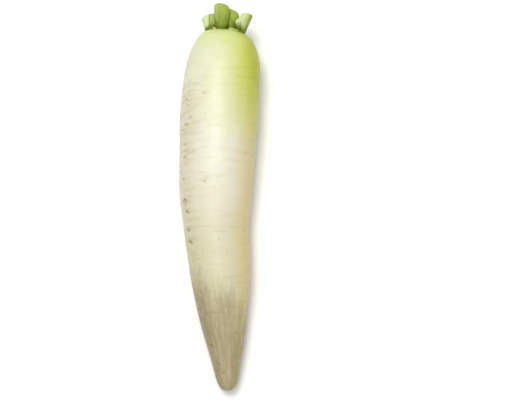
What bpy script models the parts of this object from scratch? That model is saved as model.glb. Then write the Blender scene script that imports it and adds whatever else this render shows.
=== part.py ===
"""White radish lying on its side: one swollen root with its crown, and ten trimmed leaf stalks.

Metres, +Z up. The root's tip points to -Y and the leaf stalks to +Y. The belly rests on a flat spot in
z = 0, and the origin is the bottom centre of the whole object's box.
"""

import math
from collections import namedtuple

import bmesh
import bpy
from mathutils import Matrix, Vector

MM = 0.001
MERGE_DISTANCE = 0.00001

# The root's outline in mm: distance from the shoulder's top towards the tip, and radius. The first five
# points are the crown, the low dome that the leaf stalks grow from.
ROOT_OUTLINE = [
    (-0.9, 0.0),
    (-0.6, 4.0),
    (0.1, 8.0),
    (1.3, 12.0),
    (2.6, 14.8),
    (4.2, 16.6),
    (6.2, 18.2),
    (11.6, 21.1),
    (17.4, 23.1),
    (25.0, 24.7),
    (40.0, 25.7),
    (65.0, 25.7),
    (90.0, 25.0),
    (110.0, 23.8),
    (130.0, 21.9),
    (150.0, 20.5),
    (170.0, 19.2),
    (190.0, 15.8),
    (210.0, 11.9),
    (224.0, 8.8),
    (232.0, 7.0),
    (236.6, 4.9),
    (238.6, 2.6),
    (239.0, 0.0),
]
ROOT_STEP = 3.3  # mm between rings
ROOT_SEGMENTS = 48
ROOT_HEIGHT_RATIO = 0.97  # the section is a little lower than wide

# How far the root's axis bends, in mm: distance from the shoulder's top, sideways, upwards.
ROOT_BOW = [
    (-2.0, 3.4, 0.0),
    (7.0, 3.6, 0.0),
    (15.0, 2.9, 0.0),
    (40.0, 0.4, 0.1),
    (70.0, -1.5, 0.2),
    (105.0, -2.9, 0.2),
    (130.0, -2.4, 0.1),
    (155.0, -0.6, -0.2),
    (185.0, 1.5, -0.8),
    (212.0, 3.7, -1.8),
    (239.0, 5.0, -3.2),
]
BOW_STEP = 1.0  # mm between points of the smoothed bend
ROOT_LEAN = math.radians(3.6)  # the tapered end sinks until the belly lies flat
CROWN_TILT = math.radians(5.4)  # the crown faces a little to +X
CROWN_TILT_FADE = (10.0, 45.0)  # mm from the shoulder's top, where that tilt fades out
FLAT_SPOT_PRESS = 1.0  # mm of belly lost where the root rests

# Broad unevenness of the root: two waves along it, each slanting as it goes round.
SWELL_HEIGHTS = (0.22, 0.15)  # mm
SWELL_LENGTHS = (13.0, 7.3)  # mm along the root for one radian of the wave
SWELL_SLANTS = (2.0, 1.5)  # radians by which the wave shifts round the root
SWELL_FADE = (8.0, 40.0)  # mm from the shoulder's top; the shoulder is smooth
SWELL_FULL_RADIUS = 12.0  # the waves grow less on the thin end

# Scars of the side roots, as shallow pits in a row along the upper flank: distance from the shoulder's
# top in mm, angle round the root in degrees, and size from 0 to 1. The opposite flank has the same row,
# shifted towards the tip.
SCARS = [
    (41.0, 165, 0.5),
    (45.4, 113, 0.4),
    (48.0, 148, 0.7),
    (52.5, 142, 0.5),
    (60.5, 135, 0.5),
    (64.8, 144, 0.7),
    (68.1, 152, 0.6),
    (77.8, 146, 0.5),
    (86.1, 148, 0.6),
    (95.4, 158, 0.4),
    (100.4, 149, 0.5),
    (102.5, 106, 0.3),
    (115.3, 147, 1.0),
    (121.7, 144, 0.8),
    (133.5, 148, 0.8),
    (141.3, 146, 0.9),
    (161.0, 163, 0.4),
    (171.5, 160, 0.4),
    (179.2, 157, 0.5),
    (192.0, 150, 0.4),
    (208.7, 137, 0.8),
    (213.5, 146, 0.6),
    (220.8, 121, 0.5),
    (226.7, 105, 0.4),
]
SCAR_OPPOSITE_SHIFT = 4.5  # mm
SCAR_DEPTHS = (0.2, 0.55)  # mm, of the smallest and the largest
SCAR_HALF_LENGTH = 2.0  # mm along the root
SCAR_HALF_WIDTH = 3.0  # mm round the root

# A leaf stalk's section: round and ribbed on its outer side, with a channel on its inner side.
STALK_SIDES = 24
STALK_OUTER_SHARE = 0.58  # share of the thickness on the outer side of the stalk's line
STALK_RIBS = 4
STALK_RIB_DEPTH = 0.03  # share of the section's size
STALK_CHANNEL = 0.3  # share of the inner side that the channel takes away
STALK_CHANNEL_WIDTH = 0.3  # share of the width
STALK_INNER_FLATNESS = 0.7  # power that flattens the inner side's curve

# The stalk along its length, in mm.
STALK_RINGS = 9
STALK_SINK = 5.0  # below the crown, cut away again where it meets the crown
STALK_WIDTH_SETTLES = 0.8  # share of the length after which the width stays
MARGIN_LENGTH = 0.2  # share of the length over which a spreading margin fades out
CUT_EDGE_RADIUS = 1.6
CUT_EDGE_STEPS = 2
CUT_HOLLOW = 0.5  # how far the pith sinks in at the cut end
FIT_GAP = 0.35  # between a stalk and the crown

# Leaf stalks. angle: degrees round the crown from +X towards +Z. ring: distance from the crown's middle.
# widths: at the foot and at the end. leans: degrees outwards, at the foot and at the end. aside: degrees
# sideways. twist: degrees by the end. cut: slant outwards and sideways in degrees. margin: how far one
# edge spreads, to the side of its sign, and at which share of the length. Lengths in mm.
Stalk = namedtuple(
    "Stalk",
    "angle ring length widths thick leans aside twist cut margin",
    defaults=(0, 0, (0, 0), (0.0, 0.0)),
)
STALKS = {
    "leaf_stalk_1": Stalk(
        angle=22, ring=10.5, length=11.2, widths=(6.2, 8.0), thick=6.2, leans=(12, 22), twist=-26,
        cut=(8, -14), margin=(3.6, 0.6),
    ),
    "leaf_stalk_2": Stalk(
        angle=52, ring=5.0, length=12.4, widths=(6.4, 9.2), thick=5.4, leans=(-5, -1), twist=-38,
        cut=(-6, 20), margin=(-0.8, 0.9),
    ),
    "leaf_stalk_3": Stalk(
        angle=106, ring=8.9, length=14.2, widths=(7.4, 10.2), thick=7.0, leans=(10, 6), aside=3, twist=8,
        cut=(6, 11),
    ),
    "leaf_stalk_4": Stalk(
        angle=149, ring=10.0, length=7.4, widths=(4.2, 4.6), thick=4.6, leans=(12, 8), aside=-1,
        cut=(12, -20),
    ),
    "leaf_stalk_5": Stalk(
        angle=186, ring=9.7, length=8.8, widths=(7.0, 9.4), thick=6.8, leans=(16, 26), aside=-2, twist=14,
        cut=(-6, 10),
    ),
    "leaf_stalk_6": Stalk(
        angle=232, ring=9.5, length=8.0, widths=(6.6, 7.8), thick=6.0, leans=(8, 14), cut=(-10, 4),
    ),
    "leaf_stalk_7": Stalk(
        angle=279, ring=9.5, length=11.5, widths=(6.8, 8.6), thick=6.4, leans=(6, 10), cut=(-8, -6),
    ),
    "leaf_stalk_8": Stalk(
        angle=326, ring=9.5, length=7.5, widths=(6.6, 7.8), thick=6.0, leans=(8, 14), cut=(-8, 8),
    ),
    "leaf_stalk_9": Stalk(
        angle=165, ring=2.8, length=8.5, widths=(4.8, 4.4), thick=4.0, leans=(2, 6), cut=(9, 0),
    ),
    "leaf_stalk_10": Stalk(
        angle=285, ring=2.8, length=6.5, widths=(4.8, 4.2), thick=4.0, leans=(2, 6), cut=(12, 0),
    ),
}

ROOT_COLOUR = (0.80, 0.76, 0.58, 1.0)
ROOT_ROUGHNESS = 0.42
STALK_COLOUR = (0.30, 0.42, 0.08, 1.0)
STALK_ROUGHNESS = 0.40


def clear_scene():
    for item in list(bpy.data.objects):
        bpy.data.objects.remove(item)


def new_collection(name):
    made = bpy.data.collections.new(name)
    bpy.context.scene.collection.children.link(made)
    return made


def new_object(name, mesh, collection, parent=None):
    made = bpy.data.objects.new(name, mesh)
    collection.objects.link(made)
    made.parent = parent
    return made


def new_material(name, colour, roughness):
    made = bpy.data.materials.new(name)
    made.use_nodes = True
    shader = made.node_tree.nodes["Principled BSDF"]
    shader.inputs["Base Color"].default_value = colour
    shader.inputs["Roughness"].default_value = roughness
    shader.inputs["Metallic"].default_value = 0.0
    return made


def evaluated_mesh(item):
    """The mesh that an object's modifiers make."""
    graph = bpy.context.evaluated_depsgraph_get()
    return bpy.data.meshes.new_from_object(item.evaluated_get(graph))


def tidy_faces(mesh):
    """Triangles, all facing outwards, shaded smooth."""
    shape = bmesh.new()
    shape.from_mesh(mesh)
    bmesh.ops.triangulate(shape, faces=shape.faces)
    bmesh.ops.recalc_face_normals(shape, faces=shape.faces)
    shape.to_mesh(mesh)
    shape.free()
    mesh.shade_smooth()


def fade(value, start, end):
    """1 before start, 0 after end, and a smooth step between."""
    share = min(1.0, max(0.0, (value - start) / (end - start)))
    return 1.0 - share * share * (3.0 - 2.0 * share)


def between(pair, share):
    """The value at a share of the way from the pair's first to its second."""
    return pair[0] + (pair[1] - pair[0]) * share


def curve_value(a, b, c, d, t):
    """The smooth (Catmull-Rom) curve from b to c, with a before them and d after them."""
    straight = 2 * b + (c - a) * t
    bend = (2 * a - 5 * b + 4 * c - d) * t**2
    turn = (3 * b - a - 3 * c + d) * t**3
    return 0.5 * (straight + bend + turn)


def spline(points, step):
    """Points about step apart on the smooth curve through the given ones."""
    before = tuple(2 * a - b for a, b in zip(points[0], points[1]))
    after = tuple(2 * a - b for a, b in zip(points[-1], points[-2]))
    ends = [before] + list(points) + [after]
    made = []
    for corners in zip(ends, ends[1:], ends[2:], ends[3:]):
        count = max(1, round(math.dist(corners[1], corners[2]) / step))
        for k in range(count):
            made.append(tuple(curve_value(*values, k / count) for values in zip(*corners)))
    made.append(points[-1])
    return made


BOW_LINE = spline(ROOT_BOW, BOW_STEP)


def bow(along):
    """Sideways and upward offset of the root's axis, in mm, at a distance from the shoulder's top."""
    for before, after in zip(BOW_LINE, BOW_LINE[1:]):
        if along <= after[0]:
            break
    share = min(1.0, max(0.0, (along - before[0]) / (after[0] - before[0])))
    return tuple(between(pair, share) for pair in zip(before[1:], after[1:]))


def both_rows():
    """Distance along the root in mm, angle round it and size, for each side-root scar of both flanks."""
    row = [(along, math.radians(angle), size) for along, angle, size in SCARS]
    opposite = [(along + SCAR_OPPOSITE_SHIFT, angle + math.pi, size) for along, angle, size in row]
    return row + opposite


SCAR_ROWS = both_rows()


def relief(along, angle, radius):
    """How far the root's skin stands in or out of its turned shape, in mm."""
    strength = (1.0 - fade(along, *SWELL_FADE)) * min(1.0, radius / SWELL_FULL_RADIUS)
    first = math.sin(along / SWELL_LENGTHS[0] + SWELL_SLANTS[0] * math.cos(angle))
    second = math.sin(along / SWELL_LENGTHS[1] - SWELL_SLANTS[1] * math.sin(angle))
    height = strength * (SWELL_HEIGHTS[0] * first + SWELL_HEIGHTS[1] * second)
    for scar_along, scar_angle, size in SCAR_ROWS:
        across = math.remainder(angle - scar_angle, 2.0 * math.pi) * radius / SCAR_HALF_WIDTH
        distance = across**2 + ((along - scar_along) / SCAR_HALF_LENGTH) ** 2
        height -= between(SCAR_DEPTHS, size) * math.exp(-distance)
    return height


def sculpt(point):
    """Moves a point of the turned root, in mm, to where it is on the grown one."""
    along = -point.y
    radius = math.hypot(point.x, point.z)
    angle = math.atan2(point.z, point.x)
    grown = max(0.0, radius + relief(along, angle, radius)) if radius > 0.0 else 0.0
    x = grown * math.cos(angle)
    z = grown * math.sin(angle) * ROOT_HEIGHT_RATIO
    aside, up = bow(along)
    tilt = math.tan(CROWN_TILT) * fade(along, *CROWN_TILT_FADE)
    return Vector((x + aside, -along - x * tilt, z + up))


def make_root(collection, parent):
    """The swollen root and its crown, turned from the outline and then given its bow and relief."""
    outline = [Vector((max(0.0, radius), -along, 0.0)) for along, radius in spline(ROOT_OUTLINE, ROOT_STEP)]
    profile = bpy.data.meshes.new("root_outline")
    profile.from_pydata([p * MM for p in outline], [(k, k + 1) for k in range(len(outline) - 1)], [])
    turned = new_object("root_turned", profile, collection)
    screw = turned.modifiers.new("Turn", "SCREW")
    screw.axis = "Y"
    screw.angle = 2.0 * math.pi
    screw.steps = ROOT_SEGMENTS
    screw.render_steps = ROOT_SEGMENTS
    screw.use_merge_vertices = True
    screw.merge_threshold = MERGE_DISTANCE
    mesh = evaluated_mesh(turned)
    bpy.data.objects.remove(turned)
    for vertex in mesh.vertices:
        vertex.co = sculpt(vertex.co / MM) * MM
    tidy_faces(mesh)
    return new_object("root", mesh, collection, parent)


def settle(root, stand):
    """Leans the root on its belly and flattens the belly where it meets z = 0."""
    lean = Matrix.Rotation(ROOT_LEAN, 4, "X")
    lowest = min((lean @ v.co).z for v in root.data.vertices)
    stand.matrix_world = Matrix.Translation((0.0, 0.0, -lowest - FLAT_SPOT_PRESS * MM)) @ lean
    back = stand.matrix_world.inverted()
    for vertex in root.data.vertices:
        world = stand.matrix_world @ vertex.co
        if world.z < 0.0:
            world.z = 0.0
            vertex.co = back @ world


def stalk_section(width, thick, margin):
    """Outline of a leaf stalk's section: a list of (sideways, outward), in mm."""
    points = []
    for k in range(STALK_SIDES):
        turn = 2.0 * math.pi * k / STALK_SIDES
        sideways = 0.5 * width * math.cos(turn)
        if math.sin(turn) >= 0.0:
            rib = 1.0 + STALK_RIB_DEPTH * math.cos(2 * STALK_RIBS * turn)
            sideways *= rib
            outward = STALK_OUTER_SHARE * thick * math.sin(turn) * rib
        else:
            channel = 1.0 - STALK_CHANNEL * math.exp(-((sideways / (STALK_CHANNEL_WIDTH * width)) ** 2))
            depth = abs(math.sin(turn)) ** STALK_INNER_FLATNESS * channel
            outward = (STALK_OUTER_SHARE - 1.0) * thick * depth
        if sideways * margin > 0.0:
            sideways += margin * (2.0 * sideways / width) ** 2
        points.append((sideways, outward))
    return points


def stalk_frames(stalk):
    """Place and sideways, outward and lengthwise directions of each ring, in mm in the root's axes."""
    aside, up = bow(0.0)
    axis = Vector((math.sin(CROWN_TILT), math.cos(CROWN_TILT), 0.0))
    round_crown = math.radians(stalk.angle)
    level = Vector((math.cos(round_crown), 0.0, math.sin(round_crown)))
    outward = (level - axis * level.dot(axis)).normalized()
    sideways = outward.cross(axis)
    aside_lean = math.radians(stalk.aside)
    place = Vector((aside, 0.0, up)) + outward * stalk.ring
    step = (STALK_SINK + stalk.length) / (STALK_RINGS - 1)
    frames = []
    for k in range(STALK_RINGS):
        share = k / (STALK_RINGS - 1)
        lean = math.radians(between(stalk.leans, share))
        along = axis * math.cos(lean) + outward * math.sin(lean) + sideways * math.sin(aside_lean)
        along.normalize()
        place = place + along * (step if k else -STALK_SINK)
        twist = Matrix.Rotation(math.radians(stalk.twist) * share, 3, along)
        out = twist @ (outward - along * outward.dot(along)).normalized()
        frames.append((place, out.cross(along), out, along))
    return frames


def stalk_rings(stalk):
    """Rings of points from a stalk's foot in the crown to its cut end, and the middle of that end."""
    slants = [math.tan(math.radians(angle)) for angle in stalk.cut]
    spread, spread_at = stalk.margin
    rings = []
    for k, (place, across, out, along) in enumerate(stalk_frames(stalk)):
        share = k / (STALK_RINGS - 1)
        width = between(stalk.widths, 1.0 - fade(share, 0.0, STALK_WIDTH_SETTLES))
        margin = spread * math.exp(-(((share - spread_at) / MARGIN_LENGTH) ** 2))
        ring = []
        for a, b in stalk_section(width, stalk.thick, margin):
            slanted = (b * slants[0] + a * slants[1]) * share**3
            ring.append(place + across * a + out * b + along * slanted)
        rings.append(ring)
    middle = sum(rings[-1], Vector()) / STALK_SIDES
    end = rings[-1]
    mean_radius = (stalk.widths[1] + stalk.thick) / 4.0
    for k in range(1, CUT_EDGE_STEPS + 1):
        turn = 0.5 * math.pi * k / CUT_EDGE_STEPS
        inset = 1.0 - CUT_EDGE_RADIUS * (1.0 - math.cos(turn)) / mean_radius
        rise = along * CUT_EDGE_RADIUS * math.sin(turn)
        rings.append([middle + (point - middle) * inset + rise for point in end])
    return rings, middle + along * (CUT_EDGE_RADIUS - CUT_HOLLOW)


def make_stalk(name, stalk, collection, parent):
    """One leaf stalk, lofted through its rings."""
    rings, pith = stalk_rings(stalk)
    shape = bmesh.new()
    loops = [[shape.verts.new(point * MM) for point in ring] for ring in rings]
    end = shape.verts.new(pith * MM)
    shape.faces.new(loops[0])
    for k in range(STALK_SIDES):
        after = (k + 1) % STALK_SIDES
        for lower, upper in zip(loops, loops[1:]):
            shape.faces.new((lower[k], lower[after], upper[after], upper[k]))
        shape.faces.new((loops[-1][k], loops[-1][after], end))
    mesh = bpy.data.meshes.new(name)
    shape.to_mesh(mesh)
    shape.free()
    tidy_faces(mesh)
    return new_object(name, mesh, collection, parent)


def make_clearance(root, collection):
    """The root's shape grown by the fitting gap, which cuts each stalk's foot to the crown."""
    grown = new_object("crown_clearance", root.data.copy(), collection, root.parent)
    swell = grown.modifiers.new("Gap", "DISPLACE")
    swell.strength = FIT_GAP * MM
    swell.mid_level = 0.0
    grown.hide_render = True
    grown.display_type = "WIRE"
    return grown


def fit_stalk(stalk, clearance):
    cut = stalk.modifiers.new("Fit to crown", "BOOLEAN")
    cut.operation = "DIFFERENCE"
    cut.solver = "EXACT"
    cut.object = clearance


def centre_origin(stand, pieces):
    """Moves the whole radish so that the origin is the bottom centre of its box."""
    bpy.context.view_layer.update()
    corners = []
    for piece in pieces:
        mesh = evaluated_mesh(piece)
        corners += [piece.matrix_world @ v.co for v in mesh.vertices]
        bpy.data.meshes.remove(mesh)
    stand.location.x -= (min(c.x for c in corners) + max(c.x for c in corners)) / 2.0
    stand.location.y -= (min(c.y for c in corners) + max(c.y for c in corners)) / 2.0


def main():
    clear_scene()
    radish = new_collection("radish")
    cutters = new_collection("cutters")
    stand = bpy.data.objects.new("radish_stand", None)
    radish.objects.link(stand)
    root = make_root(radish, stand)
    root.data.materials.append(new_material("root_skin", ROOT_COLOUR, ROOT_ROUGHNESS))
    settle(root, stand)
    clearance = make_clearance(root, cutters)
    stalk_green = new_material("stalk_green", STALK_COLOUR, STALK_ROUGHNESS)
    stalks = []
    for name, sizes in STALKS.items():
        stalk = make_stalk(name, sizes, radish, stand)
        stalk.data.materials.append(stalk_green)
        fit_stalk(stalk, clearance)
        stalks.append(stalk)
    centre_origin(stand, [root] + stalks)


main()
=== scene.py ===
"""Looks of the white radish: its skin, its leaf stalks, the floor, the light and the camera.

The root and each leaf stalk are made again on the sizes of the plain solids that they stand for, with a
fine surface. Shapes are worked out in mm in the root's own axes, where the tip is at -Y and the crown at
+Y, and are then laid down in the frame, which is in metres.
"""

import math
import random
from collections import namedtuple

import bpy
import numpy as np
from mathutils import Matrix, Vector


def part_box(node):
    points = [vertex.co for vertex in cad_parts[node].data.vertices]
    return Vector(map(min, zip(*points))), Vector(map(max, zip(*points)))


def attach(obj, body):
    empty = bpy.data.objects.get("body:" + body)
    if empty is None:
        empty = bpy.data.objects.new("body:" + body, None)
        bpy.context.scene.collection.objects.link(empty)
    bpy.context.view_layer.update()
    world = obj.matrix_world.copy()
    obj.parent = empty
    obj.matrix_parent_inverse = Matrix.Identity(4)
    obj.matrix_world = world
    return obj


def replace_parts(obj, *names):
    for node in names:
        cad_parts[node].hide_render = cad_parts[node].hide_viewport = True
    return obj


MM = 0.001

# The root's outline in mm: distance from the shoulder's top towards the tip, and radius. It starts with the
# crown, the low dome that the leaf stalks grow from.
CROWN_POINTS = 5
ROOT_OUTLINE = [
    (-0.9, 0.0),
    (-0.6, 4.0),
    (0.1, 8.0),
    (1.3, 12.0),
    (2.6, 14.8),
    (4.2, 16.6),
    (6.2, 18.2),
    (11.6, 21.1),
    (17.4, 23.1),
    (25.0, 24.7),
    (40.0, 25.7),
    (65.0, 25.7),
    (90.0, 25.0),
    (110.0, 23.8),
    (130.0, 21.9),
    (150.0, 20.5),
    (170.0, 19.2),
    (190.0, 15.8),
    (210.0, 11.9),
    (224.0, 8.8),
    (232.0, 7.0),
    (236.6, 4.9),
    (238.6, 2.6),
    (239.0, 0.0),
]
ROOT_STEP = 0.7  # mm between rings
ROOT_SEGMENTS = 228
ROOT_HEIGHT_RATIO = 0.97  # the section is a little lower than wide

# How far the root's axis bends, in mm: distance from the shoulder's top, sideways, upwards.
ROOT_BOW = [
    (-2.0, 3.4, 0.0),
    (7.0, 3.6, 0.0),
    (15.0, 2.9, 0.0),
    (40.0, 0.4, 0.1),
    (70.0, -1.5, 0.2),
    (105.0, -2.9, 0.2),
    (130.0, -2.4, 0.1),
    (155.0, -0.6, -0.2),
    (185.0, 1.5, -0.8),
    (212.0, 3.7, -1.8),
    (239.0, 5.0, -3.2),
]
BOW_STEP = 1.0  # mm between points of the smoothed bend
ROOT_LEAN = math.radians(3.6)  # the tapered end sinks until the belly lies flat
CROWN_TILT = math.radians(5.4)  # the crown faces a little to +X
CROWN_TILT_FADE = (10.0, 45.0)  # mm from the shoulder's top, where that tilt fades out
FLAT_SPOT_PRESS = 1.0  # mm of belly lost where the root rests
FLAT_SPOT_SOFTNESS = 0.3  # mm, how rounded the flat spot's rim is

# Broad unevenness of the root: two waves along it, each slanting as it goes round.
SWELL_HEIGHTS = (0.22, 0.15)  # mm
SWELL_LENGTHS = (13.0, 7.3)  # mm along the root for one radian of the wave
SWELL_SLANTS = (2.0, 1.5)  # radians by which the wave shifts round the root
SWELL_FADE = (8.0, 40.0)  # mm from the shoulder's top; the shoulder is smooth
SWELL_FULL_RADIUS = 12.0  # the waves grow less on the thin end

# Scars of the side roots, as shallow pits in a row along the upper flank: distance from the shoulder's
# top in mm, angle round the root in degrees, and size from 0 to 1. The opposite flank has the same row,
# shifted towards the tip.
SCARS = [
    (41.0, 165, 0.5),
    (45.4, 113, 0.4),
    (48.0, 148, 0.7),
    (52.5, 142, 0.5),
    (60.5, 135, 0.5),
    (64.8, 144, 0.7),
    (68.1, 152, 0.6),
    (77.8, 146, 0.5),
    (86.1, 148, 0.6),
    (95.4, 158, 0.4),
    (100.4, 149, 0.5),
    (102.5, 106, 0.3),
    (115.3, 147, 1.0),
    (121.7, 144, 0.8),
    (133.5, 148, 0.8),
    (141.3, 146, 0.9),
    (161.0, 163, 0.4),
    (171.5, 160, 0.4),
    (179.2, 157, 0.5),
    (192.0, 150, 0.4),
    (208.7, 137, 0.8),
    (213.5, 146, 0.6),
    (220.8, 121, 0.5),
    (226.7, 105, 0.4),
]
SCAR_OPPOSITE_SHIFT = 4.5  # mm
SCAR_DEPTHS = (0.2, 0.55)  # mm, of the smallest and the largest
SCAR_HALF_LENGTH = 2.0  # mm along the root
SCAR_HALF_WIDTH = 3.0  # mm round the root

# The slit in the middle of each scar, and the brown stain round it. Pairs are for the smallest and the
# largest scar. Lengths in mm.
SLIT_DEPTHS = (0.1, 0.4)
SLIT_HALF_LENGTH = 0.5
SLIT_HALF_WIDTHS = (0.6, 2.0)
STAIN_HALF_LENGTHS = (0.45, 0.85)
STAIN_HALF_WIDTHS = (0.3, 2.3)
STAIN_SLANT = 0.22  # mm along the root for each mm round it
STAIN_DARKNESS = (0.4, 1.0)
STAIN_FAINTER_ALONG = (70.0, 115.0)  # mm from the shoulder's top; the marks above it are fainter
STAIN_FAINTEST = 0.5
RING_SIZE = 0.95  # a scar larger than this has a ring round it
RING_RADIUS = 1.9
RING_HALF_WIDTH = 0.45
RING_FAINTEST = 0.35  # how dark the ring is on its tipward side
RING_MIDDLE = 0.3  # how dark the stain is inside the ring

# The band that follows a row of scars: partly soil, partly painted shade.
ROW_ANGLE = math.radians(141.0)  # of its middle
ROW_HALF_ANGLE = 0.34  # radians

# Small stray marks, most of them near the row of scars.
SPECK_SEED = 5
SPECK_COUNT = 170
SPECK_ALONG = (24.0, 232.0)  # mm
SPECK_ANGLE = math.radians(160.0)
SPECK_SPREAD = math.radians(34.0)  # round the root, from a row of scars
SPECK_RADII = (0.25, 0.6)  # mm
SPECK_STRETCH = (1.0, 2.4)  # length along the root, as a share of the width
SPECK_DARKNESS = (0.1, 0.4)

# Fine creases that run part of the way round the root. Lengths in mm, angles in radians, and slants in mm
# along the root for each radian round it.
CREASE_SEED = 21
CREASE_COUNT = 110
CREASE_ALONG = (30.0, 228.0)
CREASE_DEPTHS = (0.02, 0.08)
CREASE_HALF_LENGTHS = (0.45, 0.8)
CREASE_HALF_ANGLES = (0.12, 0.5)
CREASE_SLANTS = (-1.2, 1.2)

# More creases, shorter and steeper, on the wrinkled flank.
FLANK_CREASE_COUNT = 160
FLANK_CREASE_ALONG = (36.0, 94.0)
FLANK_CREASE_ANGLE = math.radians(162.0)
FLANK_CREASE_SPREAD = math.radians(24.0)
FLANK_CREASE_HALF_ANGLES = (0.06, 0.25)
FLANK_CREASE_SLANTS = (2.0, 8.0)

STRAND_STRETCH = 0.004  # how much the skin's fine strands change for each mm along the root

# A leaf stalk's section: round and ribbed on its outer side, with a channel on its inner side.
STALK_SIDES = 96
STALK_OUTER_SHARE = 0.58  # share of the thickness on the outer side of the stalk's line
STALK_RIBS = 4
STALK_RIB_DEPTH = 0.03  # share of the section's size
STALK_FIBRES = 11
STALK_FIBRE_DEPTH = 0.008
STALK_CHANNEL = 0.3  # share of the inner side that the channel takes away
STALK_CHANNEL_WIDTH = 0.3  # share of the width
STALK_INNER_FLATNESS = 0.7  # power that flattens the inner side's curve

# The stalk along its length, in mm.
STALK_RINGS = 9  # rings that the stalk's line is worked out on
STALK_STEPS = 6  # fine rings between two of those
STALK_SINK = 5.0  # the stalk's line starts this far below the crown
STALK_FOOT = 1.6  # the fine stalk starts this far below the crown
STALK_WIDTH_SETTLES = 0.8  # share of the length after which the width stays
MARGIN_LENGTH = 0.2  # share of the length over which a spreading margin fades out
CUT_EDGE_RADIUS = 1.6
CUT_EDGE_STEPS = 10
CUT_FACE_STEPS = 7
CUT_HOLLOW = 0.5  # how far the pith sinks in at the cut end
# The one-sided pale tone is partly painted glare.
PALE_EDGE = (0.0, 0.7)  # where a one-sided pale tone starts and is full, from the middle to the side

# Leaf stalks. angle: degrees round the crown from +X towards +Z. ring: distance from the crown's middle.
# widths: at the foot and at the end. leans: degrees outwards, at the foot and at the end. aside: degrees
# sideways. twist: degrees by the end. cut: slant outwards and sideways in degrees. margin: how far one
# edge spreads, to the side of its sign, and at which share of the length. edge: radius of the cut end's
# rounded edge. pale: how much its green is washed out, partly its own paler tone and partly painted glare.
# pale_side: 0 for all round, or the sign of the washed-out side, counted as the margin's. streaky: how
# clear its ribs and streaks are. Lengths in mm.
Stalk = namedtuple(
    "Stalk",
    "angle ring length widths thick leans aside twist cut margin edge pale pale_side streaky",
    defaults=(0, 0, (0, 0), (0.0, 0.0), CUT_EDGE_RADIUS, 0.0, 0, 1.0),
)
STALKS = {
    "leaf_stalk_1": Stalk(
        angle=22, ring=10.5, length=11.2, widths=(6.2, 8.0), thick=6.2, leans=(12, 22), twist=-26,
        cut=(8, -14), margin=(3.6, 0.6), edge=2.4, pale=0.75, pale_side=1, streaky=1.0,
    ),
    "leaf_stalk_2": Stalk(
        angle=52, ring=5.0, length=12.4, widths=(6.4, 9.2), thick=5.4, leans=(-5, -1), twist=-38,
        cut=(-6, 20), margin=(-0.8, 0.9), edge=2.4, streaky=0.35,
    ),
    "leaf_stalk_3": Stalk(
        angle=106, ring=8.9, length=14.2, widths=(7.4, 10.2), thick=7.0, leans=(10, 6), aside=3, twist=8,
        cut=(6, 11), edge=2.8, pale=0.2, pale_side=1, streaky=0.35,
    ),
    "leaf_stalk_4": Stalk(
        angle=149, ring=10.0, length=7.4, widths=(4.2, 4.6), thick=4.6, leans=(12, 8), aside=-1,
        cut=(12, -20), pale=0.15, pale_side=-1,
    ),
    "leaf_stalk_5": Stalk(
        angle=186, ring=9.7, length=8.8, widths=(7.0, 9.4), thick=6.8, leans=(16, 26), aside=-2,
        twist=14, cut=(-6, 10), edge=2.2, pale=0.85, streaky=0.35,
    ),
    "leaf_stalk_6": Stalk(
        angle=232, ring=9.5, length=8.0, widths=(6.6, 7.8), thick=6.0, leans=(8, 14), cut=(-10, 4),
    ),
    "leaf_stalk_7": Stalk(
        angle=279, ring=9.5, length=11.5, widths=(6.8, 8.6), thick=6.4, leans=(6, 10), cut=(-8, -6),
        pale=0.2,
    ),
    "leaf_stalk_8": Stalk(
        angle=326, ring=9.5, length=7.5, widths=(6.6, 7.8), thick=6.0, leans=(8, 14), cut=(-8, 8),
    ),
    "leaf_stalk_9": Stalk(
        angle=165, ring=2.8, length=8.5, widths=(4.8, 4.4), thick=4.0, leans=(2, 6), cut=(9, 0),
        pale=0.3,
    ),
    "leaf_stalk_10": Stalk(
        angle=285, ring=2.8, length=6.5, widths=(4.8, 4.2), thick=4.0, leans=(2, 6), cut=(12, 0),
        pale=0.4,
    ),
}

# Torn scraps of leaf sheath that stand on the crown between and outside the stalks' feet. angle: degrees
# round the crown. half_span: degrees to either side of it. ring: distance from the crown's middle. height:
# at the middle. Lengths in mm.
Scrap = namedtuple("Scrap", "angle half_span ring height")
SCRAPS = [
    Scrap(61, 19, 11.4, 1.7),
    Scrap(66, 15, 10.2, 1.7),
    Scrap(132, 8, 11.0, 1.6),
    Scrap(192, 15, 14.3, 0.9),
    Scrap(209, 10, 11.2, 1.7),
    Scrap(255, 9, 11.4, 1.9),
    Scrap(284, 14, 14.3, 1.0),
    Scrap(303, 9, 11.2, 1.5),
    Scrap(355, 12, 11.4, 1.8),
]
SCRAP_SEED = 11
SCRAP_STEPS = 22
SCRAP_HEIGHT_SHARES = (0.0, 0.4, 0.75, 1.0)
SCRAP_THICKNESS = 0.3
SCRAP_THINNING = 0.7  # share of the thickness that is lost at the torn edge
SCRAP_LEAN = 0.35  # mm outwards for each mm of height
SCRAP_SINK = 0.6
SCRAP_RAGGED = (0.6, 1.0)  # share of its height that each step of the torn edge keeps
SCRAP_GRAIN = (1.0, 12.0, 1.0)  # size of its streaks' places along the root, round it and outwards

# The light: a pale room and two soft lamps. Places in metres, power in watts.
ROOM_STRENGTH = 0.43
LAMP_TARGET = Vector((0.0, 0.0, 0.02))
Lamp = namedtuple("Lamp", "name place size power tint")
LAMPS = [
    Lamp("key_light", (-0.15, 0.25, 1.05), size=0.4, power=6.5, tint=(1.0, 0.99, 0.96)),
    Lamp("top_light", (0.0, -0.1, 1.2), size=0.7, power=4.2, tint=(1.0, 1.0, 1.0)),
]
FLOOR_SIZE = 6.0  # metres

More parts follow.
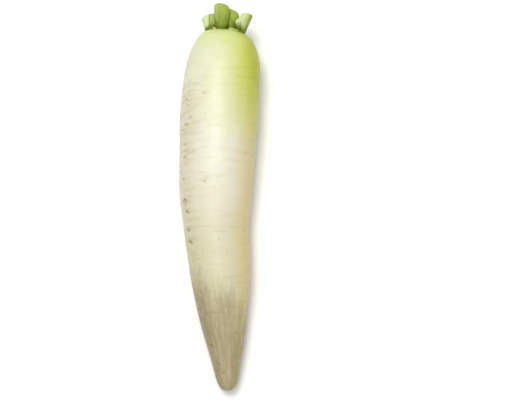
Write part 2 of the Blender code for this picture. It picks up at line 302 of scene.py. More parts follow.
# The view: the camera looks down from above the middle of the scene, tipped towards the root's tip.
VIEW_TARGET = Vector((0.0242, -0.0023, 0.025))
VIEW_DISTANCE = 0.75
VIEW_TILT = math.radians(7.0)
VIEW_WIDTH = 0.338  # metres that the picture spans at the target
SENSOR_WIDTH = 36.0

# The tones of the finished look: red, green and blue from 0 to 255.
COLOURS = {
    "cream": (223, 222, 207),
    "warm cream": (216, 212, 190),
    "lower cream and shade": (204, 200, 167),
    "right flank shade and reflection": (214, 196, 128),
    "tan": (170, 158, 123),
    "olive tan and shade": (160, 150, 92),
    "grey tan and shade": (154, 140, 112),
    "greenish cream": (210, 221, 166),
    "yellow-green": (198, 206, 70),
    "shoulder green": (204, 218, 130),
    "deep green and shade": (176, 184, 30),
    "crown green": (120, 130, 44),
    "soil_and_shade": (222, 212, 178),
    "band": (218, 205, 160),
    "crease_shade": (190, 172, 120),
    "light strand": (210, 202, 174),
    "dark strand": (140, 122, 86),
    "halo": (184, 168, 88),
    "stain": (102, 84, 6),
    "stalk low": (102, 118, 0),
    "stalk high": (152, 169, 70),
    "stalk patch": (168, 184, 88),
    "stalk light streak": (204, 216, 124),
    "stalk pale and glare": (214, 225, 178),
    "stalk dark streak": (104, 124, 8),
    "stalk foot shade": (84, 100, 0),
    "cut face": (206, 214, 150),
    "cut dots": (228, 230, 190),
    "pith": (190, 182, 120),
    "green straw": (128, 138, 34),
    "light straw": (208, 212, 134),
    "torn edge": (168, 156, 80),
    "floor": (250, 250, 250),
    "floor shade": (246, 246, 245),
}


def fade(value, start, end):
    """1 before start, 0 after end, and a smooth step between."""
    share = np.clip((value - start) / (end - start), 0.0, 1.0)
    return 1.0 - share * share * (3.0 - 2.0 * share)


def between(pair, share):
    """The value at a share of the way from the pair's first to its second."""
    return pair[0] + (pair[1] - pair[0]) * share


def curve_value(a, b, c, d, t):
    """The smooth (Catmull-Rom) curve from b to c, with a before them and d after them."""
    straight = 2 * b + (c - a) * t
    bend = (2 * a - 5 * b + 4 * c - d) * t**2
    turn = (3 * b - a - 3 * c + d) * t**3
    return 0.5 * (straight + bend + turn)


def spline(points, step):
    """Points about step apart on the smooth curve through the given ones."""
    before = tuple(2 * a - b for a, b in zip(points[0], points[1]))
    after = tuple(2 * a - b for a, b in zip(points[-1], points[-2]))
    ends = [before] + list(points) + [after]
    made = []
    for corners in zip(ends, ends[1:], ends[2:], ends[3:]):
        count = max(1, round(math.dist(corners[1], corners[2]) / step))
        for k in range(count):
            made.append(tuple(curve_value(*values, k / count) for values in zip(*corners)))
    made.append(points[-1])
    return made


BOW_LINE = np.array(spline(ROOT_BOW, BOW_STEP))


def bow(along):
    """Sideways and upward offset of the root's axis, in mm, at a distance from the shoulder's top."""
    return tuple(np.interp(along, BOW_LINE[:, 0], BOW_LINE[:, column]) for column in (1, 2))


def turn_between(angle, middle):
    """The signed angle from middle to angle."""
    return (angle - middle + math.pi) % (2.0 * math.pi) - math.pi


def both_rows():
    """Distance along the root in mm, angle round it and size, for each side-root scar of both flanks."""
    row = [(along, math.radians(angle), size) for along, angle, size in SCARS]
    opposite = [(along + SCAR_OPPOSITE_SHIFT, angle + math.pi, size) for along, angle, size in row]
    return row + opposite


def swell(along, angle, radius):
    """The root's broad unevenness, in mm."""
    strength = (1.0 - fade(along, *SWELL_FADE)) * np.minimum(1.0, radius / SWELL_FULL_RADIUS)
    first = np.sin(along / SWELL_LENGTHS[0] + SWELL_SLANTS[0] * np.cos(angle))
    second = np.sin(along / SWELL_LENGTHS[1] - SWELL_SLANTS[1] * np.sin(angle))
    return strength * (SWELL_HEIGHTS[0] * first + SWELL_HEIGHTS[1] * second)


def hump(across, ahead, half_width, half_length):
    """1 in the middle of an oval, fading to 0 a little outside it."""
    return np.exp(-((across / half_width) ** 2) - (ahead / half_length) ** 2)


def scar_relief(along, angle, radius):
    """Depth of the scars' pits and slits, in mm, and how brown the skin is there, from 0 to 1."""
    depth = np.zeros_like(along)
    stain = np.zeros_like(along)
    for scar_along, scar_angle, size in both_rows():
        across = turn_between(angle, scar_angle) * radius
        ahead = along - scar_along
        slit_width = between(SLIT_HALF_WIDTHS, size)
        depth += between(SCAR_DEPTHS, size) * hump(across, ahead, SCAR_HALF_WIDTH, SCAR_HALF_LENGTH)
        depth += between(SLIT_DEPTHS, size) * hump(across, ahead, slit_width, SLIT_HALF_LENGTH)
        slanted = ahead + STAIN_SLANT * across
        spot = hump(across, slanted, between(STAIN_HALF_WIDTHS, size), between(STAIN_HALF_LENGTHS, size))
        if size > RING_SIZE:
            ring = hump(np.hypot(across, ahead) - RING_RADIUS, 0.0, RING_HALF_WIDTH, 1.0)
            crownward = fade(ahead, -RING_RADIUS, RING_RADIUS)
            spot = np.maximum(RING_MIDDLE * spot, ring * between((RING_FAINTEST, 1.0), crownward))
        stain = np.maximum(stain, between(STAIN_DARKNESS, size) * spot)
    return depth, stain * between((1.0, STAIN_FAINTEST), fade(along, *STAIN_FAINTER_ALONG))


def row_closeness(angle):
    """How near each point is to the middle of a row of scars, from 0 to 1."""
    off = np.abs(turn_between(angle, ROW_ANGLE))
    nearest = np.minimum(off, math.pi - off)
    return np.exp(-((nearest / ROW_HALF_ANGLE) ** 2))


def speck_stain(along, angle, radius):
    """How brown the skin is for small stray marks, from 0 to 1."""
    draw = random.Random(SPECK_SEED)
    stain = np.zeros_like(along)
    for k in range(SPECK_COUNT):
        row_angle = SPECK_ANGLE + (k % 2) * math.pi
        across = turn_between(angle, draw.gauss(row_angle, SPECK_SPREAD)) * radius
        ahead = along - draw.uniform(*SPECK_ALONG)
        size = draw.uniform(*SPECK_RADII)
        spot = hump(across, ahead, size, size * draw.uniform(*SPECK_STRETCH))
        stain = np.maximum(stain, draw.uniform(*SPECK_DARKNESS) * spot)
    return stain


def crease_relief(along, angle):
    """Depth of the fine creases, in mm."""
    draw = random.Random(CREASE_SEED)
    depth = np.zeros_like(along)
    for k in range(CREASE_COUNT + FLANK_CREASE_COUNT):
        if k < CREASE_COUNT:
            middle = draw.uniform(-math.pi, math.pi)
            place = draw.uniform(*CREASE_ALONG)
            half_angle = draw.uniform(*CREASE_HALF_ANGLES)
            slant = draw.uniform(*CREASE_SLANTS)
        else:
            middle = draw.gauss(FLANK_CREASE_ANGLE, FLANK_CREASE_SPREAD)
            place = draw.uniform(*FLANK_CREASE_ALONG)
            half_angle = draw.uniform(*FLANK_CREASE_HALF_ANGLES)
            slant = draw.uniform(*FLANK_CREASE_SLANTS)
        turn = turn_between(angle, middle)
        ahead = along - place - slant * turn
        half_length = draw.uniform(*CREASE_HALF_LENGTHS)
        deep = draw.uniform(*CREASE_DEPTHS)
        depth += deep * np.exp(-((ahead / half_length) ** 2) - (turn / half_angle) ** 4)
    return depth


def grown_points(along, angle, radius):
    """Points of the grown root, in mm in its own axes, and the skin's stain and crease depth there."""
    pits, stain = scar_relief(along, angle, radius)
    stain = np.maximum(stain, speck_stain(along, angle, radius))
    creases = crease_relief(along, angle) * np.minimum(1.0, radius / SWELL_FULL_RADIUS)
    grown = np.maximum(0.0, radius + swell(along, angle, radius) - pits - creases)
    return round_the_axis(along, angle, grown), stain, creases


def round_the_axis(along, angle, radius):
    """Points in mm in the root's own axes, for places given along and round its bent axis."""
    x = radius * np.cos(angle)
    z = radius * np.sin(angle) * ROOT_HEIGHT_RATIO
    aside, up = bow(along)
    tilt = math.tan(CROWN_TILT) * fade(along, *CROWN_TILT_FADE)
    return np.stack((x + aside, -along - x * tilt, z + up), axis=-1)


def transformed(points, matrix):
    """An array of points, moved by a 4 by 4 matrix."""
    table = np.array(matrix)
    return points @ table[:3, :3].T + table[:3, 3]


def stand_matrix(points):
    """Where the root's own axes are in the frame: leaned, on the floor, in the plain root's place."""
    lean = Matrix.Rotation(ROOT_LEAN, 4, "X")
    leaned = transformed(points.reshape(-1, 3) * MM, lean)
    own_middle = (leaned.min(axis=0) + leaned.max(axis=0)) / 2.0
    low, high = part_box("root")
    aside, ahead = ((low[axis] + high[axis]) / 2.0 - own_middle[axis] for axis in (0, 1))
    down = leaned[:, 2].min() + FLAT_SPOT_PRESS * MM
    return Matrix.Translation((aside, ahead, -down)) @ lean


def ring_faces(ring_count, sides):
    """Quads between neighbouring rings of points."""
    faces = []
    for ring in range(ring_count - 1):
        start = ring * sides
        for k in range(sides):
            after = (k + 1) % sides
            faces.append((start + k, start + after, start + sides + after, start + sides + k))
    return faces


def cap_faces(pole, start, sides, backwards):
    """Triangles from one middle point to a ring of points."""
    faces = []
    for k in range(sides):
        corner, after = start + k, start + (k + 1) % sides
        faces.append((pole, after, corner) if backwards else (pole, corner, after))
    return faces


def closed_faces(ring_count, sides):
    """Faces of rings of points, closed at both ends to the two points that follow them."""
    count = ring_count * sides
    faces = ring_faces(ring_count, sides)
    faces += cap_faces(count, 0, sides, backwards=True)
    faces += cap_faces(count + 1, count - sides, sides, backwards=False)
    return faces


def new_piece(name, points, faces, attributes):
    """A smooth mesh piece on the root's body. attributes: name to one number or one vector per point."""
    mesh = bpy.data.meshes.new(name)
    mesh.from_pydata(points.tolist(), [], faces)
    for label, values in attributes.items():
        kind, field = ("FLOAT", "value") if values.ndim == 1 else ("FLOAT_VECTOR", "vector")
        layer = mesh.attributes.new(label, kind, "POINT")
        layer.data.foreach_set(field, values.astype(np.float32).ravel())
    mesh.update()
    mesh.shade_smooth()
    piece = bpy.data.objects.new(name, mesh)
    bpy.context.scene.collection.objects.link(piece)
    return piece


def root_grid():
    """Distance along the root, angle round it and radius, for each point but the two end points."""
    outline = np.array(spline(ROOT_OUTLINE, ROOT_STEP))[1:-1]
    turns = np.arange(ROOT_SEGMENTS) * (2.0 * math.pi / ROOT_SEGMENTS)
    along, angle = np.meshgrid(outline[:, 0], turns, indexing="ij")
    radius = np.repeat(outline[:, 1:], ROOT_SEGMENTS, axis=1)
    return along, angle, radius


def end_point(outline_point):
    """The single point that closes the root at one end, in mm in its own axes."""
    along = np.array([outline_point[0]])
    aside, up = bow(along)
    return np.stack((aside, -along, up), axis=-1)


def make_root():
    """The root's fine skin, and the matrix that lays the root's own axes in the frame."""
    along, angle, radius = root_grid()
    points, stain, creases = grown_points(along, angle, radius)
    stand = stand_matrix(points)
    first, last = ROOT_OUTLINE[0], ROOT_OUTLINE[-1]
    body = np.concatenate((points.reshape(-1, 3), end_point(first), end_point(last)))
    placed = transformed(body * MM, stand)
    soft = FLAT_SPOT_SOFTNESS * MM
    placed[:, 2] = 0.5 * (placed[:, 2] + np.sqrt(placed[:, 2] ** 2 + soft**2))

    ends = (0.0, 0.0)
    flat_along = np.append(along.ravel(), (first[0], last[0]))
    flat_radius = np.append(radius.ravel(), ends)
    flat_angle = np.append(angle.ravel(), ends)
    side, top = np.cos(flat_angle), np.sin(flat_angle)
    attributes = {
        "turned": np.stack((side * flat_radius, flat_along, top * flat_radius), axis=-1),
        "lengthwise": np.stack((side, flat_along * STRAND_STRETCH, top), axis=-1),
        "side": side,
        "stain": np.append(stain.ravel(), ends),
        "row": np.append(row_closeness(angle).ravel(), ends),
        "crease_shade": np.append(creases.ravel(), ends) / CREASE_DEPTHS[1],
    }
    piece = new_piece("root_skin", placed, closed_faces(len(points), ROOT_SEGMENTS), attributes)
    return piece, stand


def stalk_frames(stalk):
    """Place, outward direction and lengthwise direction of each ring, in mm in the root's axes."""
    aside, up = bow(0.0)
    axis = Vector((math.sin(CROWN_TILT), math.cos(CROWN_TILT), 0.0))
    round_crown = math.radians(stalk.angle)
    level = Vector((math.cos(round_crown), 0.0, math.sin(round_crown)))
    outward = (level - axis * level.dot(axis)).normalized()
    sideways = outward.cross(axis)
    aside_lean = math.radians(stalk.aside)
    place = Vector((aside, 0.0, up)) + outward * stalk.ring
    step = (STALK_SINK + stalk.length) / (STALK_RINGS - 1)
    frames = []
    for k in range(STALK_RINGS):
        share = k / (STALK_RINGS - 1)
        lean = math.radians(between(stalk.leans, share))
        along = axis * math.cos(lean) + outward * math.sin(lean) + sideways * math.sin(aside_lean)
        along.normalize()
        place = place + along * (step if k else -STALK_SINK)
        twist = Matrix.Rotation(math.radians(stalk.twist) * share, 3, along)
        out = twist @ (outward - along * outward.dot(along)).normalized()
        frames.append((*place, *out, *along))
    return frames


def fine_frames(stalk):
    """The same frames on a smooth curve, closer together and from just below the crown. Each is a share of
    the length, a place, and the sideways, outward and lengthwise directions."""
    frames = np.array(stalk_frames(stalk))
    padded = np.concatenate((2 * frames[:1] - frames[1:2], frames, 2 * frames[-1:] - frames[-2:-1]))
    first_share = (STALK_SINK - STALK_FOOT) / (STALK_SINK + stalk.length)
    last_share = 1.0 - (stalk.edge - CUT_EDGE_RADIUS) / (STALK_SINK + stalk.length)
    found = []
    for share in np.linspace(first_share, last_share, (STALK_RINGS - 1) * STALK_STEPS):
        k = min(int(share * (STALK_RINGS - 1)), STALK_RINGS - 2)
        values = curve_value(*padded[k : k + 4], share * (STALK_RINGS - 1) - k)
        place, out, along = values[:3], values[3:6], values[6:]
        out = out / np.linalg.norm(out)
        along = along / np.linalg.norm(along)
        found.append((share, place, np.cross(out, along), out, along))
    return found


def stalk_section(width, thick, margin, streaky):
    """Outline of a leaf stalk's section: sideways and outward, in mm."""
    turn = np.arange(STALK_SIDES) * (2.0 * math.pi / STALK_SIDES)
    outer = np.sin(turn) >= 0.0
    ribs = STALK_RIB_DEPTH * np.cos(2 * STALK_RIBS * turn)
    fibres = STALK_FIBRE_DEPTH * np.cos(2 * STALK_FIBRES * turn)
    rib = 1.0 + streaky * (ribs + fibres)
    sideways = 0.5 * width * np.cos(turn)
    channel = 1.0 - STALK_CHANNEL * np.exp(-((sideways / (STALK_CHANNEL_WIDTH * width)) ** 2))
    inner = (STALK_OUTER_SHARE - 1.0) * thick * np.abs(np.sin(turn)) ** STALK_INNER_FLATNESS * channel
    outward = np.where(outer, STALK_OUTER_SHARE * thick * np.sin(turn) * rib, inner)
    sideways = np.where(outer, sideways * rib, sideways)
    spread = np.where(sideways * margin > 0.0, margin * (2.0 * sideways / width) ** 2, 0.0)
    return sideways + spread, outward


def stalk_wall(stalk):
    """The rings of a stalk's side, the share of its length at each, and its direction at the end."""
    slants = [math.tan(math.radians(angle)) for angle in stalk.cut]
    spread, spread_at = stalk.margin
    rings, rises = [], []
    for share, place, across, out, along in fine_frames(stalk):
        width = between(stalk.widths, 1.0 - fade(share, 0.0, STALK_WIDTH_SETTLES))
        margin = spread * math.exp(-(((share - spread_at) / MARGIN_LENGTH) ** 2))
        a, b = stalk_section(width, stalk.thick, margin, stalk.streaky)
        slanted = (b * slants[0] + a * slants[1]) * share**3
        rings.append(place + np.outer(a, across) + np.outer(b, out) + np.outer(slanted, along))
        rises.append(share)
    return rings, rises, along


def stalk_end(stalk, end, along):
    """The rings of the rounded cut edge and of the sunken cut face, how far each is into the cut, from 0
    to 2, and the middle of that face."""
    middle = end.mean(axis=0)
    mean_radius = (stalk.widths[1] + stalk.thick) / 4.0
    rings, cuts = [], []
    for k in range(1, CUT_EDGE_STEPS + 1):
        turn = 0.5 * math.pi * k / CUT_EDGE_STEPS
        inset = 1.0 - stalk.edge * (1.0 - math.cos(turn)) / mean_radius
        rings.append(middle + (end - middle) * inset + along * stalk.edge * math.sin(turn))
        cuts.append((k / CUT_EDGE_STEPS) ** 2)
    for k in range(1, CUT_FACE_STEPS):
        share = 1.0 - k / CUT_FACE_STEPS
        rise = stalk.edge - CUT_HOLLOW * (1.0 - share**2)
        rings.append(middle + (end - middle) * inset * share + along * rise)
        cuts.append(1.0 + k / CUT_FACE_STEPS)
    return rings, cuts, middle + along * (stalk.edge - CUT_HOLLOW)


def make_stalk(name, stalk, stand):
    """One leaf stalk with its ribs, its rounded cut edge and its sunken cut face."""
    wall, rises, along = stalk_wall(stalk)
    end, end_cuts, pith = stalk_end(stalk, wall[-1], along)
    rings = wall + end
    body = np.concatenate(rings + [rings[0].mean(axis=0)[None], pith[None]])
    rise = np.repeat(rises + [1.0] * len(end), STALK_SIDES)
    cut = np.repeat([0.0] * len(wall) + end_cuts, STALK_SIDES)
    turns = np.tile(np.arange(STALK_SIDES) * (2.0 * math.pi / STALK_SIDES), len(rings))
    strand = (np.cos(turns) * stalk.widths[1], np.sin(turns) * stalk.thick, rise * stalk.length)
    pale = np.full(len(turns), stalk.pale)
    if stalk.pale_side:
        pale *= 1.0 - fade(stalk.pale_side * np.cos(turns), *PALE_EDGE)
    attributes = {
        "strand": np.concatenate((np.stack(strand, axis=-1), ((0, 0, 0), (0, 0, stalk.length)))),
        "rise": np.append(rise, (0.0, 1.0)),
        "above": np.append(rise * (STALK_SINK + stalk.length) - STALK_SINK, (0.0, stalk.length)),
        "cut": np.append(cut, (0.0, 2.0)),
        "pale": np.append(pale, (stalk.pale, stalk.pale)),
        "streaky": np.full(len(body), stalk.streaky),
    }
    faces = closed_faces(len(rings), STALK_SIDES)
    return new_piece(name + "_fine", transformed(body * MM, stand), faces, attributes)


def make_scraps(stand):
    """The torn scraps of leaf sheath, as one piece."""
    draw = random.Random(SCRAP_SEED)
    crown = np.array(ROOT_OUTLINE[:CROWN_POINTS])
    section = [(share, 0.5) for share in SCRAP_HEIGHT_SHARES]
    section += [(share, -0.5) for share in reversed(SCRAP_HEIGHT_SHARES)]
    strip = ring_faces(SCRAP_STEPS, len(section))
    points, faces, heights = [], [], []
    for scrap in SCRAPS:
        faces += [tuple(k + len(points) for k in face) for face in strip]
        foot = np.interp(scrap.ring, crown[:, 1], crown[:, 0]) + SCRAP_SINK
        for step in range(SCRAP_STEPS):
            across = 2.0 * step / (SCRAP_STEPS - 1) - 1.0
            tall = scrap.height * math.sqrt(1.0 - across * across) * draw.uniform(*SCRAP_RAGGED)
            angle = math.radians(scrap.angle + across * scrap.half_span)
            for share, side in section:
                thin = side * SCRAP_THICKNESS * (1.0 - SCRAP_THINNING * share)
                radius = scrap.ring + SCRAP_LEAN * share * tall + thin
                points.append((foot - share * (tall + SCRAP_SINK), angle, radius))
                heights.append(share)
    places = np.array(points)
    body = round_the_axis(places[:, 0], places[:, 1], places[:, 2])
    attributes = {"rise": np.array(heights), "strand": places * SCRAP_GRAIN}
    return new_piece("crown_scraps", transformed(body * MM, stand), faces, attributes)


class Nodes:
    """Short names for building one material's nodes."""

    def __init__(self, name):
        self.material = bpy.data.materials.new(name)
        self.material.use_nodes = True
        self.tree = self.material.node_tree
        self.shader = self.tree.nodes["Principled BSDF"]

    def plug(self, socket, value):
        """Links a value that another node gives, or sets a fixed one."""
        if isinstance(value, bpy.types.NodeSocket):
            self.tree.links.new(value, socket)
        else:
            socket.default_value = value

    def set(self, label, value):
        """Plugs a value into the shader."""
        self.plug(self.shader.inputs[label], value)

    def attribute(self, name, output="Fac"):
        """One of the mesh's own attributes."""
        node = self.tree.nodes.new("ShaderNodeAttribute")
        node.attribute_name = name
        return node.outputs[output]

    def math(self, operation, *values):
        node = self.tree.nodes.new("ShaderNodeMath")
        node.operation = operation
        for socket, value in zip(node.inputs, values):
            self.plug(socket, value)
        return node.outputs[0]

    def scaled(self, vector, factors):
        """A vector times one factor for each axis."""
        node = self.tree.nodes.new("ShaderNodeVectorMath")
        node.operation = "MULTIPLY"
        self.plug(node.inputs[0], vector)
        node.inputs[1].default_value = factors
        return node.outputs[0]

    def part(self, vector, axis):
        """One axis of a vector."""
        node = self.tree.nodes.new("ShaderNodeSeparateXYZ")
        self.plug(node.inputs[0], vector)
        return node.outputs[axis]

    def noise(self, vector, scale, detail=2.0, roughness=0.5):
        """Soft noise from 0 to 1, with scale waves for each unit of the vector."""
        node = self.tree.nodes.new("ShaderNodeTexNoise")
        self.plug(node.inputs["Vector"], vector)
        node.inputs["Scale"].default_value = scale
        node.inputs["Detail"].default_value = detail
        node.inputs["Roughness"].default_value = roughness
        return node.outputs["Fac"]

    def remap(self, value, low, high, to_low=0.0, to_high=1.0):
        """value from low to high becomes to_low to to_high, smoothly and held at the ends."""
        node = self.tree.nodes.new("ShaderNodeMapRange")
        node.interpolation_type = "SMOOTHSTEP"
        labels = ("From Min", "From Max", "To Min", "To Max")
        for label, number in zip(labels, (low, high, to_low, to_high)):
            node.inputs[label].default_value = number
        self.plug(node.inputs["Value"], value)
        return node.outputs[0]

    def mix(self, share, first, second, blend="MIX"):
        """The first colour, with a share of the second mixed in or multiplied over it."""
        node = self.tree.nodes.new("ShaderNodeMix")
        node.data_type = "RGBA"
        node.blend_type = blend
        self.plug(node.inputs["Factor"], share)
        self.plug(node.inputs["A"], first)
        self.plug(node.inputs["B"], second)
        return node.outputs["Result"]

    def tint(self, base, share, name, blend="MIX"):
        """A colour with a share of a named tone mixed in or multiplied over it."""
        return self.mix(share, base, colour(name), blend)

    def bump(self, height, distance, strength):
        """A normal that a height between 0 and 1 tilts, as if it stood distance metres high."""
        node = self.tree.nodes.new("ShaderNodeBump")
        node.inputs["Strength"].default_value = strength
        node.inputs["Distance"].default_value = distance
        self.plug(node.inputs["Height"], height)
        return node.outputs[0]


def colour(name):
    """The shader colour of a named tone."""
    parts = []
    for value in COLOURS[name]:
        share = value / 255.0
        parts.append(share / 12.92 if share <= 0.04045 else ((share + 0.055) / 1.055) ** 2.4)
    return (*parts, 1.0)


SkinMap = namedtuple("SkinMap", "along wander side patches bands lines strands tongues grain")


def skin_map(nodes):
    """Where a spot is: along the root in mm, exactly and unevenly, and its side, from -1 on the left to 1
    on the right. The rest are noises: broad patches, bands and fine lines across the root, strands and
    tongues along it, and fine grain."""
    turned = nodes.attribute("turned", "Vector")
    along = nodes.part(turned, "Y")
    patches = nodes.noise(turned, 0.035, detail=3.0)
    return SkinMap(
        along=along,
        wander=nodes.math("MULTIPLY_ADD", patches, 26.0, along),
        side=nodes.attribute("side"),
        patches=patches,
        bands=nodes.noise(nodes.scaled(turned, (0.22, 1.0, 0.22)), 0.32, detail=4.0, roughness=0.6),
        lines=nodes.noise(nodes.scaled(turned, (0.12, 1.0, 0.12)), 1.6, detail=3.0, roughness=0.6),
        strands=nodes.noise(nodes.attribute("lengthwise", "Vector"), 15.0, detail=3.0, roughness=0.65),
        tongues=nodes.noise(nodes.scaled(turned, (1.0, 0.2, 1.0)), 0.12, detail=2.0),
        grain=nodes.noise(turned, 1.1, detail=2.0),
    )


def cream_ground(nodes, at):
    """Cream skin, duller towards the tip (partly painted shade) and yellower on the right flank (painted
    shade and painted reflection).
    """
    skin = nodes.mix(at.patches, colour("cream"), colour("warm cream"))
    # Duller towards the tip: partly the skin's own tone, partly painted shade.
    skin = nodes.tint(skin, nodes.remap(at.wander, 95.0, 185.0), "lower cream and shade")
    # Yellower on the right flank: painted shade and painted reflection.
    flank = nodes.math("MULTIPLY_ADD", at.patches, 0.4, at.side)
    return nodes.tint(skin, nodes.remap(flank, 0.5, 1.2, 0.0, 0.8), "right flank shade and reflection")


def add_tan_tip(nodes, at, skin):
    """The tan of the thin end, olive on the right and grey on the left, and its share at each spot."""
    # The tan and its olive right and grey left sides are partly the skin's own tone and partly painted
    # shade.
    slanted = nodes.math("MULTIPLY_ADD", at.side, -12.0, at.wander)
    ragged = nodes.math("MULTIPLY_ADD", at.tongues, 44.0, slanted)
    tan = nodes.remap(nodes.math("MULTIPLY_ADD", at.strands, 60.0, ragged), 226.0, 264.0)
    skin = nodes.tint(skin, tan, "tan")
    olive = nodes.math("MULTIPLY", nodes.remap(at.side, 0.2, 0.85, 0.0, 0.75), tan)
    skin = nodes.tint(skin, olive, "olive tan and shade")
    grey = nodes.math("MULTIPLY", nodes.remap(at.side, -0.85, -0.25, 0.65, 0.0), tan)
    return nodes.tint(skin, grey, "grey tan and shade"), tan


def add_green_shoulder(nodes, at, skin):
    """The green of the shoulder, deepest on the right flank with painted shade and reflection, and the
    darker green of the crown.
    """
    skin = nodes.tint(skin, nodes.remap(at.wander, 20.0, 95.0, 0.3, 0.0), "greenish cream")
    edge = nodes.math("MULTIPLY_ADD", at.tongues, 40.0, at.wander)
    # The green grows towards the right flank and deepens there: partly its own colour, partly painted shade
    # and painted reflection.
    flank = nodes.remap(nodes.math("MULTIPLY_ADD", at.patches, 0.3, at.side), -0.45, 1.25)
    green = nodes.math("MULTIPLY", flank, nodes.remap(edge, 54.0, 124.0, 1.0, 0.0))
    skin = nodes.tint(skin, green, "yellow-green")
    skin = nodes.tint(skin, nodes.remap(at.wander, 8.0, 36.0, 0.8, 0.0), "shoulder green")
    deep = nodes.remap(edge, 48.0, 112.0, 0.85, 0.0)
    deep = nodes.math("MULTIPLY", nodes.remap(at.side, 0.38, 0.95), deep)
    skin = nodes.tint(skin, deep, "deep green and shade")
    return nodes.tint(skin, nodes.remap(at.along, 0.9, 1.7, 0.8, 0.0), "crown green")


def add_wear_and_shade(nodes, at, skin, tan):
    """The rows of scars, soiled and in painted shade, the faint bands, painted shade in the creases, and
    the strands of the tan end.
    """
    # Painted shade, with some soil, in a band along each row of scars.
    soil_and_shade = nodes.math("MULTIPLY", nodes.attribute("row"), nodes.remap(at.wander, 44.0, 70.0, 0.0, 0.42))
    soil_and_shade = nodes.math("MULTIPLY", soil_and_shade, nodes.remap(at.bands, 0.35, 0.65, 0.5, 1.0))
    skin = nodes.tint(skin, soil_and_shade, "soil_and_shade", "MULTIPLY")
    skin = nodes.tint(skin, nodes.remap(at.bands, 0.45, 0.75, 0.0, 0.14), "band", "MULTIPLY")
    # Painted shade in the creases, as dark as each crease is deep.
    crease_shade = nodes.math("MULTIPLY", nodes.attribute("crease_shade"), 0.16)
    skin = nodes.tint(skin, crease_shade, "crease_shade", "MULTIPLY")
    light = nodes.math("MULTIPLY", nodes.remap(at.strands, 0.56, 0.65, 0.0, 0.55), tan)
    skin = nodes.tint(skin, light, "light strand")
    dark = nodes.math("MULTIPLY", nodes.remap(at.strands, 0.34, 0.46, 0.4, 0.0), tan)
    return nodes.tint(skin, dark, "dark strand")


def add_stains(nodes, at, skin):
    """The brown of the scars and specks, each in a straw-coloured halo."""
    stain = nodes.math("MULTIPLY", nodes.attribute("stain"), nodes.remap(at.grain, 0.3, 0.62, 0.6, 1.0))
    halo = nodes.math("MULTIPLY", nodes.math("POWER", stain, 0.5), 0.45)
    return nodes.tint(nodes.tint(skin, halo, "halo"), stain, "stain")


def skin_material():
    """Thin moist skin: cream, yellow-green at the shoulder, tan to the tip, with marks, fine lines and
    painted shade.
    """
    nodes = Nodes("radish_skin")
    at = skin_map(nodes)
    skin, tan = add_tan_tip(nodes, at, cream_ground(nodes, at))
    skin = add_green_shoulder(nodes, at, skin)
    skin = add_wear_and_shade(nodes, at, skin, tan)
    nodes.set("Base Color", add_stains(nodes, at, skin))
    nodes.set("Roughness", nodes.remap(at.bands, 0.3, 0.7, 0.42, 0.55))
    fine = nodes.math("MULTIPLY", at.grain, 0.25)
    height = nodes.math("ADD", nodes.math("MULTIPLY", at.lines, 0.5), fine)
    nodes.set("Normal", nodes.bump(height, 0.00012, 0.6))
    nodes.set("Subsurface Weight", 0.3)
    nodes.set("Subsurface Radius", (1.0, 0.75, 0.4))
    nodes.set("Subsurface Scale", 0.004)
    return nodes.material


def stalk_material():
    """Ribbed green stalk: dark at the foot with painted shade at the crown, lighter above, streaked
    lengthwise, pale on the cut face.
    """
    nodes = Nodes("stalk_skin")
    strand = nodes.attribute("strand", "Vector")
    rise = nodes.attribute("rise")
    cut = nodes.attribute("cut")
    streaks = nodes.noise(nodes.scaled(strand, (1.0, 1.0, 0.07)), 1.1, detail=3.0, roughness=0.6)
    patches = nodes.noise(strand, 0.22, detail=2.0)
    reach = nodes.math("MULTIPLY_ADD", patches, 0.35, rise)
    green = nodes.mix(nodes.remap(reach, 0.45, 1.05), colour("stalk low"), colour("stalk high"))
    green = nodes.tint(green, nodes.remap(patches, 0.5, 0.7, 0.0, 0.5), "stalk patch")
    streaky = nodes.attribute("streaky")
    light = nodes.math("MULTIPLY", nodes.remap(streaks, 0.52, 0.7, 0.0, 0.5), streaky)
    green = nodes.tint(green, light, "stalk light streak")
    # Paler wash, strongest high up: partly the stalk's own tone, partly painted glare.
    pale = nodes.math("MULTIPLY", nodes.attribute("pale"), nodes.remap(reach, 0.52, 0.88))
    green = nodes.tint(green, pale, "stalk pale and glare")
    dark = nodes.math("MULTIPLY", nodes.remap(streaks, 0.3, 0.48, 0.6, 0.0), streaky)
    green = nodes.tint(green, dark, "stalk dark streak")
    # Painted shade at the foot, where the stalk meets the crown.
    green = nodes.tint(green, nodes.remap(nodes.attribute("above"), 0.2, 3.4, 0.7, 0.0), "stalk foot shade")

    dots = nodes.noise(strand, 1.4, detail=1.0)
    flesh = nodes.mix(nodes.remap(dots, 0.45, 0.7), colour("cut face"), colour("cut dots"))
    flesh = nodes.tint(flesh, nodes.remap(cut, 1.5, 2.0, 0.0, 0.5), "pith")
    nodes.set("Base Color", nodes.mix(nodes.remap(cut, 0.1, 0.9), green, flesh))
    nodes.set("Roughness", nodes.remap(cut, 0.4, 1.0, 0.48, 0.6))
    nodes.set("Normal", nodes.bump(streaks, 0.0003, 0.6))
    nodes.set("Specular IOR Level", 0.12)
    nodes.set("Subsurface Weight", 0.25)
    nodes.set("Subsurface Radius", (0.6, 1.0, 0.25))
    nodes.set("Subsurface Scale", 0.002)
    return nodes.material


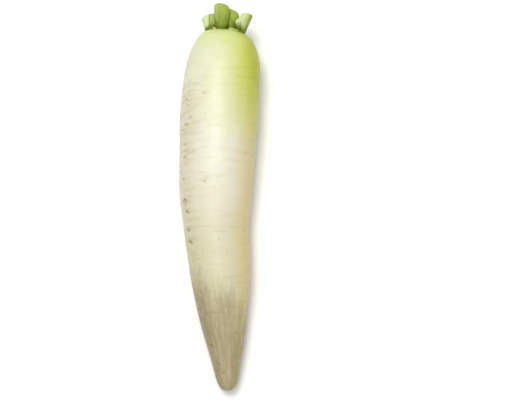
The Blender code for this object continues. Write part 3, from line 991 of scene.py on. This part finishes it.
def scrap_material():
    """Dry torn sheath: straw with green streaks, browner at its torn edge."""
    nodes = Nodes("dry_sheath")
    strand = nodes.attribute("strand", "Vector")
    streaks = nodes.noise(nodes.scaled(strand, (0.3, 1.0, 1.0)), 1.2, detail=3.0)
    straw = nodes.mix(nodes.remap(streaks, 0.38, 0.62), colour("green straw"), colour("light straw"))
    torn = nodes.remap(nodes.attribute("rise"), 0.75, 1.0, 0.0, 0.4)
    nodes.set("Base Color", nodes.tint(straw, torn, "torn edge"))
    nodes.set("Roughness", 0.65)
    return nodes.material


def floor_material():
    """Plain pale matt floor with a hardly visible unevenness."""
    nodes = Nodes("pale_floor")
    place = nodes.tree.nodes.new("ShaderNodeTexCoord").outputs["Object"]
    nodes.set("Base Color", nodes.mix(nodes.noise(place, 3.0), colour("floor"), colour("floor shade")))
    nodes.set("Roughness", 0.9)
    return nodes.material


def dress(piece, material):
    """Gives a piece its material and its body."""
    piece.data.materials.append(material)
    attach(piece, "root")
    return piece


def make_floor():
    """The level floor that the root rests on."""
    bpy.ops.mesh.primitive_plane_add(size=FLOOR_SIZE)
    floor = bpy.context.object
    floor.name = "floor"
    floor.data.materials.append(floor_material())


def add_lamp(lamp):
    """A round soft lamp that faces the root."""
    light = bpy.data.lights.new(lamp.name, "AREA")
    light.shape = "DISK"
    light.size = lamp.size
    light.energy = lamp.power
    light.color = lamp.tint
    holder = bpy.data.objects.new(lamp.name, light)
    bpy.context.scene.collection.objects.link(holder)
    holder.location = lamp.place
    holder.rotation_euler = (LAMP_TARGET - Vector(lamp.place)).to_track_quat("-Z", "Y").to_euler()


def make_light():
    """A soft key light above the left flank and the crown, a soft light above, and a pale room."""
    world = bpy.data.worlds.new("pale_room")
    world.use_nodes = True
    background = world.node_tree.nodes["Background"]
    background.inputs["Color"].default_value = (1.0, 1.0, 1.0, 1.0)
    background.inputs["Strength"].default_value = ROOM_STRENGTH
    bpy.context.scene.world = world
    for lamp in LAMPS:
        add_lamp(lamp)


def make_camera():
    """The camera in the photograph's place, and plain tones without a film look."""
    camera = bpy.data.objects.new("camera", bpy.data.cameras.new("camera"))
    bpy.context.scene.collection.objects.link(camera)
    tilted = Matrix.Rotation(VIEW_TILT, 4, "X") @ Matrix.Translation((0.0, 0.0, VIEW_DISTANCE))
    camera.matrix_world = Matrix.Translation(VIEW_TARGET) @ tilted
    camera.data.sensor_width = SENSOR_WIDTH
    camera.data.lens = SENSOR_WIDTH * VIEW_DISTANCE / VIEW_WIDTH
    bpy.context.scene.camera = camera
    bpy.context.scene.view_settings.view_transform = "Standard"


def main():
    """Builds the whole scene round the loaded frame."""
    make_camera()
    root, stand = make_root()
    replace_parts(dress(root, skin_material()), "root")
    green = stalk_material()
    for name, stalk in STALKS.items():
        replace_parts(dress(make_stalk(name, stalk, stand), green), name)
    dress(make_scraps(stand), scrap_material())
    make_floor()
    make_light()


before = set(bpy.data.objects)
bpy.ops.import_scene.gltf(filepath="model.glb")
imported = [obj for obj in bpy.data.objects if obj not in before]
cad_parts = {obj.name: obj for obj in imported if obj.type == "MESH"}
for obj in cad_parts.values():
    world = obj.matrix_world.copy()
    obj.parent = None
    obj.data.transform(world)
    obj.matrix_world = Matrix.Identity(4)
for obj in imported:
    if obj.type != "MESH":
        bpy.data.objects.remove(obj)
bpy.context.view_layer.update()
main()
